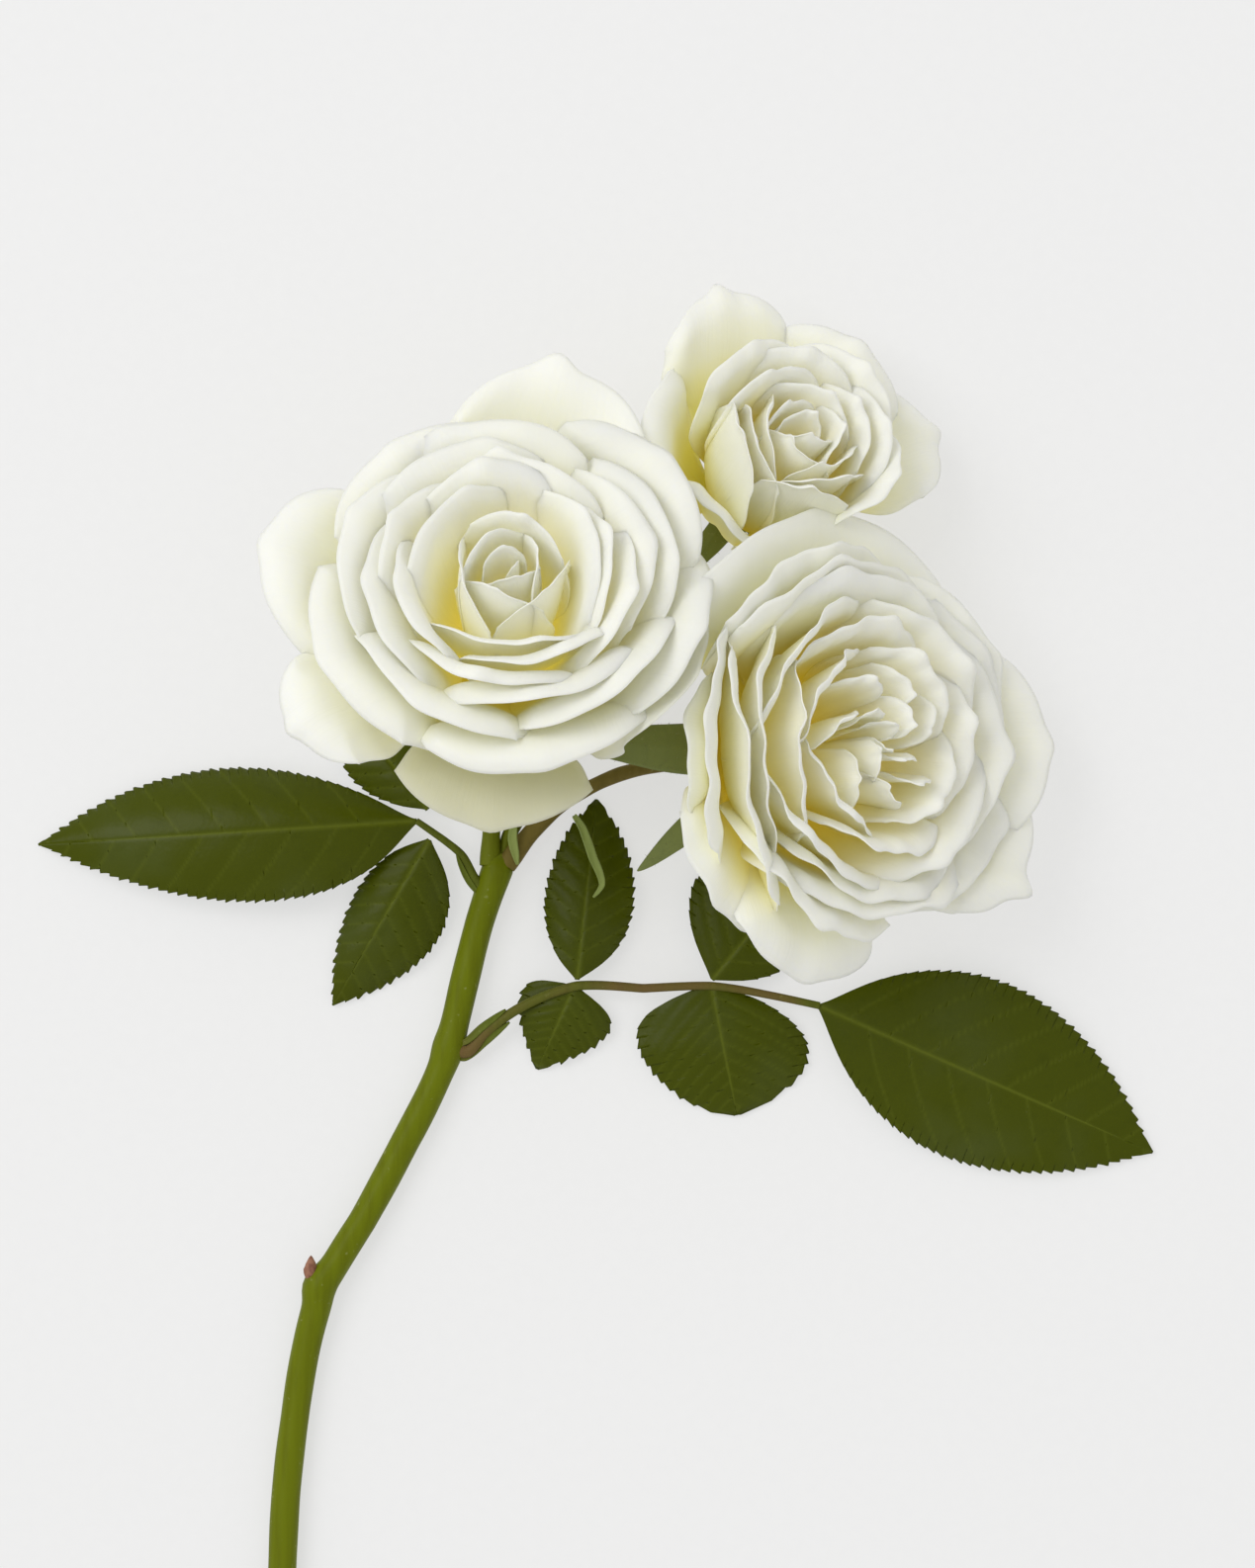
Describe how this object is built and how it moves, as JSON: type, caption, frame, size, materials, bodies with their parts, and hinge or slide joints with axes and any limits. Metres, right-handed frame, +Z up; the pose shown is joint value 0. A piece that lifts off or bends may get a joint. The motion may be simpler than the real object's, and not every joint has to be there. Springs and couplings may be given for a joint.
{
  "type": "cut spray rose",
  "caption": "Cut spray rose lying down: one stem forking into stalks with double white blooms, with compound leaves and a slanted cut end.",
  "frame": {"origin": "centre of the bounding box's footprint, on the surface that the rose lies on", "axes": "+Z up, away from that surface and towards the open blooms; +Y along the stem, from its cut end to the blooms; +X to the side of the smaller blooms"},
  "size_m": [0.179, 0.2568, 0.0633],
  "materials": {
    "stem": "smooth waxy green skin",
    "pedicel": "green skin flushed brown",
    "bud": "brown bud scales",
    "leaf_stalk": "green stalk flushed brown",
    "leaf": "dark green leaf, satin above, duller below",
    "calyx": "matte green with fine hairs",
    "bract": "pale green, thin",
    "petal": "matte creamy white, slightly translucent",
    "inner_petal": "matte cream, rolled petals with air between them"
  },
  "bodies": {
    "root": {"stem": "stem", "axillary_bud": "bud", "pedicel_large": "pedicel", "calyx_large": "calyx", "large_heart": "inner_petal", "large_inner_petal_1": "petal", "large_inner_petal_2": "petal", "large_inner_petal_3": "petal", "large_inner_petal_4": "petal", "large_inner_petal_5": "petal", "large_outer_petal_1": "petal", "large_outer_petal_2": "petal", "large_outer_petal_3": "petal", "large_outer_petal_4": "petal", "large_outer_petal_5": "petal", "large_guard_petal_1": "petal", "large_guard_petal_2": "petal", "large_guard_petal_3": "petal", "large_guard_petal_4": "petal", "large_guard_petal_5": "petal", "pedicel_right": "pedicel", "calyx_right": "calyx", "right_heart": "inner_petal", "right_inner_petal_1": "petal", "right_inner_petal_2": "petal", "right_inner_petal_3": "petal", "right_inner_petal_4": "petal", "right_outer_petal_1": "petal", "right_outer_petal_2": "petal", "right_outer_petal_3": "petal", "right_outer_petal_4": "petal", "right_outer_petal_5": "petal", "right_guard_petal_1": "petal", "right_guard_petal_2": "petal", "right_guard_petal_3": "petal", "right_guard_petal_4": "petal", "pedicel_top": "pedicel", "calyx_top": "calyx", "top_heart": "inner_petal", "top_outer_petal_1": "petal", "top_outer_petal_2": "petal", "top_outer_petal_3": "petal", "top_outer_petal_4": "petal", "top_outer_petal_5": "petal", "top_guard_petal_1": "petal", "top_guard_petal_2": "petal", "top_guard_petal_3": "petal", "top_guard_petal_4": "petal", "left_petiole": "leaf_stalk", "right_rachis": "leaf_stalk", "left_leaflet_end": "leaf", "left_leaflet_lower": "leaf", "left_leaflet_upper": "leaf", "right_leaflet_1_upper": "leaf", "right_leaflet_1_lower": "leaf", "right_leaflet_2_upper": "leaf", "right_leaflet_2_lower": "leaf", "right_leaflet_end": "leaf", "bract_fork": "bract", "bract_curled": "bract"}
  },
  "joints": []
}
